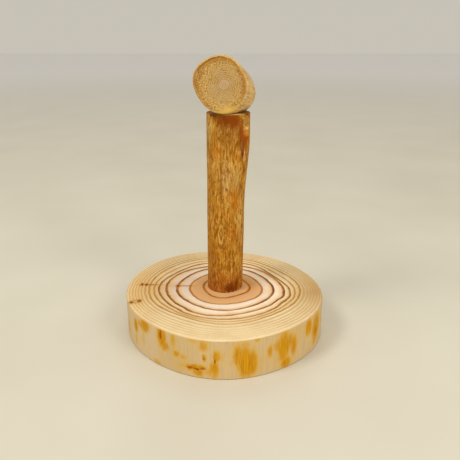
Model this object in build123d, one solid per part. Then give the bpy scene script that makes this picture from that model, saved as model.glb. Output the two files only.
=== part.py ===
from build123d import *

# Paper towel holder made of three pieces of barkless natural softwood: a slice of log lying flat, a
# straight branch standing on it, and a short branch stub lying across the top as a knob.  The stub is
# wider than a roll's core, so it lifts off on its dowel peg to load a roll.  A coach screw from below
# holds the branch to the slice.
#
# Frame: millimetres, +Z up, origin on the counter at the middle of the slice.  -Y is the front.

import os
from math import cos, exp, radians, sin

# ---- Driving dimensions: slice of log ----
SLAB_RADIUS = 90.0
SLAB_HEIGHT = 36.0
SLAB_TOP_CHAMFER = 1.4
SLAB_FOOT_CHAMFER = 1.0
SLAB_LOBES = ((2, 2.0, -44.0), (3, 0.8, 12.0), (5, 0.6, -19.0))  # count, height mm, angle deg
OUTLINE_POINTS = 24

# ---- Driving dimensions: standing branch ----
STEM_FOOT_X = 1.0
STEM_FOOT_Y = 8.0
STEM_LEAN_X = 1.4
STEM_LENGTH = 161.0
STEM_RADIUS = 16.6
STEM_LOBES = ((2, 0.25, 60.0), (3, 0.2, 20.0))
STEM_TWIST = 0.3         # degrees of spiral grain per millimetre of height
STEM_TOP_CHAMFER = 0.6
FLARE_WIDTH = 3.5        # the branch widens on its right side below the knot
FLARE_ANGLE = -15.0
FLARE_POWER = 1.5        # higher is narrower
FLARE_START = 84.0       # heights above the slice
FLARE_END = 138.0
KNOT_HEIGHT = 0.9        # a healed knot stands proud near the top
KNOT_ANGLE = -35.0
KNOT_SPREAD = 24.0
KNOT_LEVEL = 138.0
KNOT_LENGTH = 12.0
STEM_SECTIONS = 15

# ---- Driving dimensions: stub lying across the top ----
HEAD_RADIUS = 22.3
HEAD_REAR_SCALE = 0.93
HEAD_LENGTH = 44.0
HEAD_YAW = 13.0          # the front end points a little to the left
HEAD_TILT = 12.0         # and a little upwards
HEAD_AXIS_HEIGHT = 19.4  # of the stub's axis above the branch's end, over the branch
HEAD_OVERHANG = 28.0     # from the peg to the middle of the front end
HEAD_OFFSET_X = 0.8      # of the stub's axis to the right of the peg
HEAD_CHAMFER = 1.8
HEAD_LOBES = ((2, 1.1, -48.0), (3, 0.2, 50.0), (4, 0.4, -15.0))

# ---- Driving dimensions: dowel peg ----
PEG_OFFSET_X = 2.0       # to the right of the branch's foot, over the middle of its top
PEG_DIAMETER = 12.0
PEG_IN_HEAD = 18.0
PEG_IN_STEM = 32.0
PEG_CHAMFER = 1.0
PEG_CLEARANCE = 0.05     # radial, in both holes
PEG_END_GAP = 1.0

# ---- Driving dimensions: coach screw and washer ----
COUNTERBORE_DIAMETER = 26.0
COUNTERBORE_DEPTH = 10.0
SCREW_DIAMETER = 8.0
SCREW_ROOT_DIAMETER = 6.0
SCREW_LENGTH = 80.0
SCREW_SHANK_REACH = 2.0  # of the plain shank above the slice
SCREW_THREAD_PITCH = 3.5
SCREW_RIDGE_HALF = 1.0   # half the width of a thread ridge at its root
SCREW_POINT = 6.0
SCREW_HEAD_FLATS = 13.0
SCREW_HEAD_HEIGHT = 5.3
SCREW_HEAD_BEVEL = 1.7   # run over rise of the bevel on the head's corners
SCREW_HOLE_DIAMETER = 8.6
WASHER_DIAMETER = 24.0
WASHER_HOLE = 8.4
WASHER_THICKNESS = 2.0

# ---- Worked out from the above ----
STEM_TOP = SLAB_HEIGHT + STEM_LENGTH
PEG_X = STEM_FOOT_X + PEG_OFFSET_X
PEG_Y = STEM_FOOT_Y
PEG_HOLE_DIAMETER = PEG_DIAMETER + 2 * PEG_CLEARANCE
WASHER_BOTTOM = COUNTERBORE_DEPTH - WASHER_THICKNESS
SCREW_TIP = WASHER_BOTTOM + SCREW_LENGTH


def lobed_radius(mean, lobes, angle):
    """Radius of a natural outline at an angle in degrees: a circle with a few shallow lobes."""
    return mean + sum(height * cos(radians(count * (angle - at))) for count, height, at in lobes)


def ring_angles(count):
    return [360.0 * step / count for step in range(count)]


def closed_outline(points):
    """Planar face inside a smooth closed curve through the points."""
    return make_face(Spline(points, periodic=True))


def smooth_step(low, high, value):
    part = min(1.0, max(0.0, (value - low) / (high - low)))
    return part * part * (3.0 - 2.0 * part)


def upright(diameter, low, high, x, y):
    """Upright cylinder between two heights."""
    return Pos(x, y, low) * Cylinder(diameter / 2, high - low, align=(Align.CENTER, Align.CENTER, Align.MIN))


def slab_outline():
    """Outline of the slice, moved so that its bounding box is centred on the origin."""
    points = []
    for angle in ring_angles(OUTLINE_POINTS):
        radius = lobed_radius(SLAB_RADIUS, SLAB_LOBES, angle)
        points.append(Vector(radius * cos(radians(angle)), radius * sin(radians(angle))))
    box = closed_outline(points).bounding_box()
    return [point - Vector(box.center().X, box.center().Y) for point in points]


def make_base_slab():
    slab = extrude(closed_outline(slab_outline()), amount=SLAB_HEIGHT)
    slab = chamfer(slab.edges().group_by(Axis.Z)[-1], SLAB_TOP_CHAMFER)
    slab = chamfer(slab.edges().group_by(Axis.Z)[0], SLAB_FOOT_CHAMFER)
    slab -= upright(COUNTERBORE_DIAMETER, 0.0, COUNTERBORE_DEPTH, STEM_FOOT_X, STEM_FOOT_Y)
    slab -= upright(SCREW_HOLE_DIAMETER, COUNTERBORE_DEPTH, SLAB_HEIGHT, STEM_FOOT_X, STEM_FOOT_Y)
    return slab


def stem_radius(angle, level):
    """Radius of the branch at an angle and a height above the slice."""
    radius = lobed_radius(STEM_RADIUS, STEM_LOBES, angle + STEM_TWIST * level)
    side = (0.5 + 0.5 * cos(radians(angle - FLARE_ANGLE))) ** FLARE_POWER
    radius += FLARE_WIDTH * smooth_step(FLARE_START, FLARE_END, level) * side
    across = ((angle - KNOT_ANGLE + 180.0) % 360.0 - 180.0) / KNOT_SPREAD
    along = (level - KNOT_LEVEL) / KNOT_LENGTH
    return radius + KNOT_HEIGHT * exp(-across * across - along * along)


def stem_section(level):
    centre_x = STEM_FOOT_X + STEM_LEAN_X * level / STEM_LENGTH
    points = []
    for angle in ring_angles(OUTLINE_POINTS):
        radius = stem_radius(angle, level)
        x = centre_x + radius * cos(radians(angle))
        y = STEM_FOOT_Y + radius * sin(radians(angle))
        points.append(Vector(x, y, SLAB_HEIGHT + level))
    return closed_outline(points)


def make_stem(screw):
    levels = [STEM_LENGTH * step / (STEM_SECTIONS - 1) for step in range(STEM_SECTIONS)]
    stem = loft([stem_section(level) for level in levels])
    stem = chamfer(stem.edges().group_by(Axis.Z)[-1], STEM_TOP_CHAMFER)
    stem -= upright(PEG_HOLE_DIAMETER, STEM_TOP - PEG_IN_STEM - PEG_END_GAP, STEM_TOP, PEG_X, PEG_Y)
    return stem - screw


def head_plane(along):
    """Plane across the stub, at a distance along its axis towards the front from above the peg."""
    yaw = radians(HEAD_YAW)
    tilt = radians(HEAD_TILT)
    front = Vector(-sin(yaw) * cos(tilt), -cos(yaw) * cos(tilt), sin(tilt))
    right = Vector(cos(yaw), -sin(yaw), 0.0)
    middle = Vector(PEG_X + HEAD_OFFSET_X, PEG_Y, STEM_TOP + HEAD_AXIS_HEIGHT)
    return Plane(origin=middle + front * along, x_dir=right, z_dir=front)


def head_section(along, scale):
    points = []
    for angle in ring_angles(OUTLINE_POINTS):
        radius = scale * lobed_radius(HEAD_RADIUS, HEAD_LOBES, angle)
        points.append((radius * cos(radians(angle)), radius * sin(radians(angle))))
    return head_plane(along) * closed_outline(points)


def make_head():
    """Tapered stub with its underside planed flat to stand on the branch, and a blind peg hole."""
    front = head_section(HEAD_OVERHANG, 1.0)
    rear = head_section(HEAD_OVERHANG - HEAD_LENGTH, HEAD_REAR_SCALE)
    head = loft([rear, front])
    ends = [edge for edge in head.edges() if edge.is_closed]
    head = chamfer(ends, HEAD_CHAMFER)
    width = 3 * HEAD_LENGTH
    below = Box(width, width, HEAD_RADIUS, align=(Align.CENTER, Align.CENTER, Align.MAX))
    head -= Pos(PEG_X, PEG_Y, STEM_TOP) * below
    return head - upright(PEG_HOLE_DIAMETER, STEM_TOP, STEM_TOP + PEG_IN_HEAD, PEG_X, PEG_Y)


def make_head_peg():
    peg = upright(PEG_DIAMETER, STEM_TOP - PEG_IN_STEM, STEM_TOP + PEG_IN_HEAD, PEG_X, PEG_Y)
    return chamfer(peg.edges().filter_by(GeomType.CIRCLE), PEG_CHAMFER)


def make_stem_screw():
    """Hexagon-headed coach screw, its thread drawn as a row of ridges."""
    root = SCREW_ROOT_DIAMETER / 2
    crest = SCREW_DIAMETER / 2
    shank_end = SLAB_HEIGHT + SCREW_SHANK_REACH
    profile = [(0.0, WASHER_BOTTOM), (crest, WASHER_BOTTOM), (crest, shank_end), (root, shank_end)]
    ridge = shank_end + SCREW_THREAD_PITCH
    while ridge < SCREW_TIP - SCREW_POINT:
        profile.append((root, ridge - SCREW_RIDGE_HALF))
        profile.append((crest, ridge))
        profile.append((root, ridge + SCREW_RIDGE_HALF))
        ridge += SCREW_THREAD_PITCH
    profile.append((root, SCREW_TIP - SCREW_POINT))
    profile.append((0.0, SCREW_TIP))
    shank = revolve(Plane.XZ * make_face(Polyline(profile, close=True)), Axis.Z)
    flats = SCREW_HEAD_FLATS / 2
    hexagon = extrude(RegularPolygon(flats, 6, major_radius=False), amount=SCREW_HEAD_HEIGHT)
    bevel = Cone(flats, flats + SCREW_HEAD_BEVEL * SCREW_HEAD_HEIGHT, SCREW_HEAD_HEIGHT,
                 align=(Align.CENTER, Align.CENTER, Align.MIN))
    head = Pos(0, 0, WASHER_BOTTOM - SCREW_HEAD_HEIGHT) * (hexagon & bevel)
    return Pos(STEM_FOOT_X, STEM_FOOT_Y, 0) * (shank + head)


def make_screw_washer():
    washer = upright(WASHER_DIAMETER, WASHER_BOTTOM, COUNTERBORE_DEPTH, STEM_FOOT_X, STEM_FOOT_Y)
    return washer - upright(WASHER_HOLE, WASHER_BOTTOM, COUNTERBORE_DEPTH, STEM_FOOT_X, STEM_FOOT_Y)


stem_screw = make_stem_screw()
nodes = {
    "base_slab": make_base_slab(),
    "stem": make_stem(stem_screw),
    "head": make_head(),
    "head_peg": make_head_peg(),
    "stem_screw": stem_screw,
    "screw_washer": make_screw_washer(),
}

os.makedirs("parts", exist_ok=True)
for name, solid in nodes.items():
    export_step(solid, f"parts/{name}.step")
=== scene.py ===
# Looks for the paper towel holder: a slice of log, a barkless branch and a short branch stub on top.
# Everything is in metres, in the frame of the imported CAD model.  The three wooden pieces are replaced by
# finely meshed ones of the same outline; the dowel and the steel keep their CAD shape.

from math import cos, pi, radians, sin

import bmesh
import bpy
import numpy as np
from mathutils import Matrix, Vector


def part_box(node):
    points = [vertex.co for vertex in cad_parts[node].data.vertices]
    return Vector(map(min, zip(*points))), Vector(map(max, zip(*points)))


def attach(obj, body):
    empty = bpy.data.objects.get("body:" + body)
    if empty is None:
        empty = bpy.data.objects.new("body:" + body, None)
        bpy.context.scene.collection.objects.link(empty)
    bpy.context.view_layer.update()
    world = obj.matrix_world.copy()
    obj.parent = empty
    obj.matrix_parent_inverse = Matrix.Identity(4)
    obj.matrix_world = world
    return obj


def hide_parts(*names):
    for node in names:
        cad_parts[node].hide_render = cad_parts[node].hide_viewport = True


MM = 0.001

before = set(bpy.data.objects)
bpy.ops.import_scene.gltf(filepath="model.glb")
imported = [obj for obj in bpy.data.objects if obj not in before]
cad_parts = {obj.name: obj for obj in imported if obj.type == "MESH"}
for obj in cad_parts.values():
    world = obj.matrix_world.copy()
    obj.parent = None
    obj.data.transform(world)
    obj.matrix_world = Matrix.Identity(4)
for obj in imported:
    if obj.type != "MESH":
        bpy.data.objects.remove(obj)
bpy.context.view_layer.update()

# ---- Places taken from the CAD model ----
_, slab_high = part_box("base_slab")
_, stem_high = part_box("stem")
_, screw_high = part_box("stem_screw")
washer_low, washer_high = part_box("screw_washer")
peg_low, peg_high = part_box("head_peg")
SLAB_TOP = slab_high.z
STEM_TOP = stem_high.z
SCREW_CENTRE = (washer_low + washer_high) / 2
PEG_CENTRE = (peg_low + peg_high) / 2
PEG_RADIUS = (peg_high.x - peg_low.x) / 2
PEG_HOLE_RADIUS = PEG_RADIUS + 0.05 * MM
PEG_END_GAP = 1.0 * MM

# ---- Outlines of the three wooden pieces, as in the CAD model ----
SLAB_RADIUS = 90.0 * MM
SLAB_LOBES = ((2, 2.0 * MM, -44.0), (3, 0.8 * MM, 12.0), (5, 0.6 * MM, -19.0))
SLAB_TOP_CHAMFER = 1.4 * MM
SLAB_FOOT_CHAMFER = 1.0 * MM
COUNTERBORE_RADIUS = 13.0 * MM
COUNTERBORE_DEPTH = 10.0 * MM
SCREW_HOLE_RADIUS = 4.3 * MM

STEM_X = 1.0 * MM
STEM_Y = 8.0 * MM
STEM_LEAN_X = 1.4 * MM
STEM_RADIUS = 16.6 * MM
STEM_LOBES = ((2, 0.25 * MM, 60.0), (3, 0.2 * MM, 20.0))
STEM_TOP_CHAMFER = 0.6 * MM
FLARE_WIDTH = 3.5 * MM
FLARE_ANGLE = -15.0
FLARE_START = 84.0 * MM
FLARE_END = 138.0 * MM
KNOT_HEIGHT = 0.9 * MM
KNOT_ANGLE = -35.0
KNOT_SPREAD = 24.0
KNOT_LEVEL = 138.0 * MM
KNOT_LENGTH = 12.0 * MM

HEAD_RADIUS = 22.3 * MM
HEAD_REAR_SCALE = 0.93
HEAD_LENGTH = 44.0 * MM
HEAD_YAW = 13.0
HEAD_TILT = 12.0
HEAD_AXIS_HEIGHT = 19.4 * MM
HEAD_OVERHANG = 28.0 * MM
HEAD_OFFSET_X = 0.8 * MM
HEAD_CHAMFER = 1.8 * MM
BEVEL_ANGLE = -68.0
BEVEL_SPREAD = 42.0
BEVEL_WIDTH = 3.0 * MM
HEAD_LOBES = ((2, 1.1 * MM, -48.0), (3, 0.2 * MM, 50.0), (4, 0.4 * MM, -15.0))


# ---- Mesh helpers ----

def lobed(mean, lobes, angle):
    """Radius of a natural outline at angles in radians: a circle with a few shallow lobes."""
    return mean + sum(height * np.cos(count * (angle - radians(at))) for count, height, at in lobes)


def smooth_step(low, high, value):
    part = np.clip((value - low) / (high - low), 0.0, 1.0)
    return part * part * (3.0 - 2.0 * part)


def lattice_noise(x, y, z, seed):
    """Smooth noise between -1 and 1 on a unit lattice, the same on every run."""
    table = np.random.default_rng(seed).random(4096)
    x, y, z = np.broadcast_arrays(x, y, z)
    base = [np.floor(v).astype(np.int64) for v in (x, y, z)]
    part = [v - b for v, b in zip((x, y, z), base)]
    part = [p * p * (3.0 - 2.0 * p) for p in part]
    total = np.zeros(x.shape)
    for corner in range(8):
        bits = [(corner >> axis) & 1 for axis in range(3)]
        cell = [b + bit for b, bit in zip(base, bits)]
        key = (cell[0] * 73856093 ^ cell[1] * 19349663 ^ cell[2] * 83492791) & 4095
        weight = np.ones(x.shape)
        for p, bit in zip(part, bits):
            weight = weight * (p if bit else 1.0 - p)
        total += table[key] * weight
    return 2.0 * total - 1.0


def uneven(radius, angles, along, grains):
    """Soft unevenness in mm round a piece of wood.  Each grain: amount, width, length along it, seed."""
    x = radius * np.cos(angles) / MM
    y = radius * np.sin(angles) / MM
    return sum(amount * lattice_noise(x / wide, y / wide, along / MM / long, seed)
               for amount, wide, long, seed in grains)


def skin(name, rows, wrap=False, caps=(None, None)):
    """Closed mesh through rows of equal point counts.  It closes on itself, or on a point at each end."""
    rows = np.asarray(rows, float)
    count, around = rows.shape[:2]
    points = [tuple(p) for p in rows.reshape(-1, 3)]
    faces = []
    for row in range(count if wrap else count - 1):
        first = row * around
        second = ((row + 1) % count) * around
        for column in range(around):
            after = (column + 1) % around
            faces.append((first + column, first + after, second + after, second + column))
    for cap, row in zip(caps, (0, count - 1)):
        if cap is None:
            continue
        tip = len(points)
        points.append(tuple(cap))
        first = row * around
        for column in range(around):
            faces.append((first + column, first + (column + 1) % around, tip))
    mesh = bpy.data.meshes.new(name)
    mesh.from_pydata(points, [], faces)
    return mesh


def finish_mesh(mesh, sharp=35.0):
    """Outward normals, smooth shading broken only at real edges."""
    work = bmesh.new()
    work.from_mesh(mesh)
    bmesh.ops.recalc_face_normals(work, faces=work.faces)
    work.to_mesh(mesh)
    work.free()
    mesh.shade_smooth()
    mesh.set_sharp_from_angle(angle=radians(sharp))
    mesh.update()
    return mesh


def add_object(name, data):
    made = bpy.data.objects.new(name, data)
    bpy.context.scene.collection.objects.link(made)
    return made


def add_piece(mesh, body, node, material):
    piece = add_object(mesh.name, mesh)
    piece.data.materials.append(material)
    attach(piece, body)
    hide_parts(node)


def row_of(x, y, height):
    return np.stack([x, y, np.broadcast_to(height, x.shape)], axis=1)


def ring(centre, radius, height, angles):
    """One row of points on a level circle or outline."""
    return row_of(centre[0] + radius * np.cos(angles), centre[1] + radius * np.sin(angles), height)


def steps(count, start=0.0, end=1.0):
    """Even steps from a start, which is left out, to an end."""
    return np.linspace(start, end, count)[1:]


def lead(rows, goal, count):
    """Adds rows that lead evenly from the last one to a goal."""
    start = rows[-1]
    rows.extend(start + (goal - start) * step for step in steps(count))


# ---- Slice of log ----

SLAB_COLUMNS = 512
slab_angles = np.linspace(0.0, 2.0 * pi, SLAB_COLUMNS, endpoint=False)


def slab_rim():
    """Outline of the slice, centred on its bounding box."""
    radius = lobed(SLAB_RADIUS, SLAB_LOBES, slab_angles)
    x = radius * np.cos(slab_angles)
    y = radius * np.sin(slab_angles)
    x -= (x.max() + x.min()) / 2
    y -= (y.max() + y.min()) / 2
    return x, y


def slab_row(rim, inset, height):
    """Row round the side or rim of the slice, a little inside its outline."""
    x, y = rim
    out = np.hypot(x, y)
    keep = (out - inset) / out
    return row_of(x * keep, y * keep, height)


def slab_side_inset(height):
    """How far the debarked side lies inside the outline: soft upright flutes and shallow scars."""
    return (0.30 + uneven(SLAB_RADIUS, slab_angles, height, (
        (0.14, 5.0, 40.0, 11), (0.07, 1.6, 14.0, 12), (0.12, 22.0, 22.0, 13)))) * MM


def make_slab():
    rim = slab_rim()
    height = SLAB_TOP
    hole_levels = np.linspace(COUNTERBORE_DEPTH, height, 4)
    rows = [ring(SCREW_CENTRE, SCREW_HOLE_RADIUS, level, slab_angles) for level in hole_levels]
    lead(rows, slab_row(rim, SLAB_TOP_CHAMFER * 1.25, height), 60)
    for step in steps(7):
        bend = step * pi / 2
        inset = SLAB_TOP_CHAMFER * 1.25 * (1.0 - sin(bend)) + slab_side_inset(height) * step
        rows.append(slab_row(rim, inset, height - SLAB_TOP_CHAMFER * (1.0 - cos(bend))))
    for level in steps(44, height - SLAB_TOP_CHAMFER, SLAB_FOOT_CHAMFER):
        rows.append(slab_row(rim, slab_side_inset(level), level))
    for step in steps(5):
        bend = step * pi / 2
        inset = SLAB_FOOT_CHAMFER * (1.0 - cos(bend)) + slab_side_inset(0.0) * (1.0 - step)
        rows.append(slab_row(rim, inset, SLAB_FOOT_CHAMFER * (1.0 - sin(bend))))
    lead(rows, ring(SCREW_CENTRE, COUNTERBORE_RADIUS, 0.0, slab_angles), 24)
    for level in steps(6, 0.0, COUNTERBORE_DEPTH):
        rows.append(ring(SCREW_CENTRE, COUNTERBORE_RADIUS, level, slab_angles))
    lead(rows, ring(SCREW_CENTRE, SCREW_HOLE_RADIUS, COUNTERBORE_DEPTH, slab_angles), 6)
    rows.pop()   # the last row is the first one again
    return finish_mesh(skin("log_slice", rows, wrap=True))


# ---- Standing branch ----

STEM_COLUMNS = 256
stem_angles = np.linspace(0.0, 2.0 * pi, STEM_COLUMNS, endpoint=False)
STEM_SCREW_RADIUS = 4.0 * MM
SCREW_POINT = 6.0 * MM


def angle_between(angles, degrees_at):
    """Signed angle in degrees from a direction, wrapped to half a turn."""
    return (np.degrees(angles) - degrees_at + 180.0) % 360.0 - 180.0


def stem_radius(level):
    """Radius of the branch all round, at a height above the slice."""
    turned = stem_angles + radians(0.3 * level / MM)
    radius = lobed(STEM_RADIUS, STEM_LOBES, turned)
    side = (0.5 + 0.5 * np.cos(stem_angles - radians(FLARE_ANGLE))) ** 1.5
    radius = radius + FLARE_WIDTH * smooth_step(FLARE_START, FLARE_END, level) * side
    across = angle_between(stem_angles, KNOT_ANGLE) / KNOT_SPREAD
    along = (level - KNOT_LEVEL) / KNOT_LENGTH
    return radius + KNOT_HEIGHT * np.exp(-across * across - along * along)


# Hollows and, where the depth is negative, rises: angle, its spread, height, its length, depth in mm.
STEM_HOLLOWS = (
    (-43, 6, 136, 9, 0.8), (-32, 7, 149, 3, -0.5), (-153, 5, 135, 7, 0.7), (-33, 4, 111, 10, 0.5),
    (-39, 3.5, 99, 6, 0.4), (-103, 8, 57, 9, 0.3), (-38, 2.5, 127, 4.5, -0.3), (100, 9, 60, 11, 0.7),
    (60, 8, 130, 9, 0.6))


def hollow(level, angle, spread, height, length, depth):
    """Depth of an oval hollow in the branch's surface."""
    across = angle_between(stem_angles, angle) / spread
    along = (level / MM - height) / length
    return depth * MM * np.exp(-(across * across + along * along) ** 2)


def stem_relief(level):
    """How far the real surface lies inside the smooth outline."""
    flecks = uneven(STEM_RADIUS, stem_angles, level, ((0.10, 1.3, 6.0, 22),))
    inside = (0.20 + np.maximum(flecks, 0.0) + uneven(STEM_RADIUS, stem_angles, level, (
        (0.12, 3.2, 26.0, 21), (0.12, 9.0, 18.0, 23)))) * MM
    for place in STEM_HOLLOWS:
        inside = inside + hollow(level, *place)
    return inside


def stem_row(level, inset=0.0):
    centre_x = STEM_X + STEM_LEAN_X * level / (STEM_TOP - SLAB_TOP)
    radius = stem_radius(level) - stem_relief(level) - inset
    return ring((centre_x, STEM_Y), radius, SLAB_TOP + level, stem_angles)


def make_stem():
    length = STEM_TOP - SLAB_TOP
    socket_floor = peg_low.z - PEG_END_GAP
    parts = np.linspace(0.2, 1.0, 5)
    rows = [ring(PEG_CENTRE, PEG_HOLE_RADIUS * part, socket_floor, stem_angles) for part in parts]
    for level in steps(26, socket_floor, STEM_TOP):
        rows.append(ring(PEG_CENTRE, PEG_HOLE_RADIUS, level, stem_angles))
    lead(rows, stem_row(length, STEM_TOP_CHAMFER), 16)
    for step in steps(5):
        bend = step * pi / 2
        drop = STEM_TOP_CHAMFER * (1.0 - cos(bend))
        rows.append(stem_row(length - drop, STEM_TOP_CHAMFER * (1.0 - sin(bend))))
    for level in steps(250, length - STEM_TOP_CHAMFER, 0.0):
        rows.append(stem_row(level))
    lead(rows, ring(SCREW_CENTRE, STEM_SCREW_RADIUS, SLAB_TOP, stem_angles), 8)
    for level in steps(8, SLAB_TOP, screw_high.z - SCREW_POINT):
        rows.append(ring(SCREW_CENTRE, STEM_SCREW_RADIUS, level, stem_angles))
    first = (PEG_CENTRE.x, PEG_CENTRE.y, socket_floor)
    last = (SCREW_CENTRE.x, SCREW_CENTRE.y, screw_high.z)
    return finish_mesh(skin("branch_upright", rows, caps=(first, last)))


# ---- Stub across the top ----

HEAD_COLUMNS = 320
head_angles = np.linspace(0.0, 2.0 * pi, HEAD_COLUMNS, endpoint=False)


def head_frame():
    """Place and axes of the stub: x to the right across it, y up across it, z forward along its pith."""
    yaw = radians(HEAD_YAW)
    tilt = radians(HEAD_TILT)
    forward = Vector((-sin(yaw) * cos(tilt), -cos(yaw) * cos(tilt), sin(tilt)))
    right = Vector((cos(yaw), -sin(yaw), 0.0))
    up = forward.cross(right)
    middle = Vector((PEG_CENTRE.x + HEAD_OFFSET_X, PEG_CENTRE.y, STEM_TOP + HEAD_AXIS_HEIGHT))
    axes = Matrix((right, up, forward)).transposed()
    return Matrix.Translation(middle) @ axes.to_4x4()


def front_bevel():
    """Width of the worn front edge all round: broad low down on the right, where the stub's colour has a
    painted pool of bounce light.
    """
    away = angle_between(head_angles, BEVEL_ANGLE) / BEVEL_SPREAD
    return HEAD_CHAMFER + BEVEL_WIDTH * np.exp(-away ** 4)


def head_row(along, part, inset, sink):
    """Row across the stub: along its axis, at a part of the radius, the wood inside the outline by sink."""
    taper = (HEAD_OVERHANG - along) / HEAD_LENGTH
    scale = 1.0 + (HEAD_REAR_SCALE - 1.0) * taper
    radius = (lobed(HEAD_RADIUS, HEAD_LOBES, head_angles) * scale - sink - inset) * part
    return ring((0.0, 0.0), radius, along, head_angles)


def head_sink(along):
    """How far the stub's bare side lies inside its outline."""
    return (0.18 + uneven(HEAD_RADIUS, head_angles, along, (
        (0.10, 3.0, 25.0, 31), (0.10, 10.0, 18.0, 32)))) * MM


def end_relief(rows, forward):
    """Slightly uneven sanded end grain: a soft swell, and fine cell-deep pitting."""
    x = rows[..., 0] / MM
    y = rows[..., 1] / MM
    swell = lattice_noise(x / 9.0, y / 9.0, forward, 41)
    pits = lattice_noise(x / 0.9, y / 0.9, forward, 42)
    rows[..., 2] -= forward * (0.08 + 0.06 * swell + 0.05 * np.maximum(pits, 0.0)) * MM
    return rows


def make_head():
    front = HEAD_OVERHANG
    rear = HEAD_OVERHANG - HEAD_LENGTH
    rows = []
    bevel = front_bevel()
    faces = [head_row(front, part, bevel, head_sink(front)) for part in np.linspace(0.02, 1.0, 60)]
    rows.extend(end_relief(np.array(faces), 1.0))
    for step in steps(9):
        bend = step * pi / 2
        along = front - bevel * (1.0 - cos(bend))
        rows.append(head_row(along, 1.0, bevel * (1.0 - sin(bend)), head_sink(along)))
    for along in steps(70, front - bevel, rear + HEAD_CHAMFER):
        rows.append(head_row(along, 1.0, 0.0, head_sink(along)))
    for step in steps(7):
        bend = step * pi / 2
        along = rear + HEAD_CHAMFER * (1.0 - sin(bend))
        rows.append(head_row(along, 1.0, HEAD_CHAMFER * (1.0 - cos(bend)), head_sink(along)))
    faces = [head_row(rear, part, HEAD_CHAMFER, head_sink(rear)) for part in steps(50, 1.0, 0.02)]
    rows.extend(end_relief(np.array(faces), -1.0))
    mesh = skin("stub_across", rows, caps=((0.0, 0.0, front - 0.08 * MM), (0.0, 0.0, rear + 0.08 * MM)))
    mesh.transform(head_frame())
    plane_seat(mesh)
    return finish_mesh(mesh)


def plane_seat(mesh):
    """Cuts the underside flat at the branch's end and sinks the blind peg hole into the flat."""
    work = bmesh.new()
    work.from_mesh(mesh)
    bmesh.ops.recalc_face_normals(work, faces=work.faces)
    everything = work.verts[:] + work.edges[:] + work.faces[:]
    seat = Vector((0.0, 0.0, STEM_TOP))
    bmesh.ops.bisect_plane(work, geom=everything, dist=1e-7, plane_co=seat,
                           plane_no=Vector((0.0, 0.0, -1.0)), clear_outer=True)
    border = [edge for edge in work.edges if edge.is_boundary]
    count = 96
    turns = np.linspace(0.0, 2.0 * pi, count, endpoint=False)
    circle = [[work.verts.new(tuple(place)) for place in ring(PEG_CENTRE, PEG_HOLE_RADIUS, level, turns)]
              for level in (STEM_TOP, peg_high.z)]
    mouth = [work.edges.new((circle[0][step], circle[0][(step + 1) % count])) for step in range(count)]
    bmesh.ops.triangle_fill(work, use_beauty=True, edges=border + mouth, normal=(0.0, 0.0, -1.0))
    for step in range(count):
        after = (step + 1) % count
        work.faces.new((circle[0][step], circle[0][after], circle[1][after], circle[1][step]))
    work.faces.new(circle[1])
    work.to_mesh(mesh)
    work.free()


# ---- Material helpers ----

def arithmetic(operation, turned=False):
    """A method of Value for one operator, or for the operator with the value on its right."""
    def method(self, other):
        work = self.look.vector if self.socket.type == "VECTOR" else self.look.math
        return work(operation, other, self) if turned else work(operation, self, other)
    return method


class Value:
    """A value in a node material.  Plain arithmetic on it makes the nodes that work it out."""

    __add__ = arithmetic("ADD")
    __radd__ = arithmetic("ADD", turned=True)
    __sub__ = arithmetic("SUBTRACT")
    __mul__ = arithmetic("MULTIPLY")
    __truediv__ = arithmetic("DIVIDE")

    def __init__(self, look, socket):
        self.look = look
        self.socket = socket

    def __abs__(self):
        return self.look.math("ABSOLUTE", self)


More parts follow.
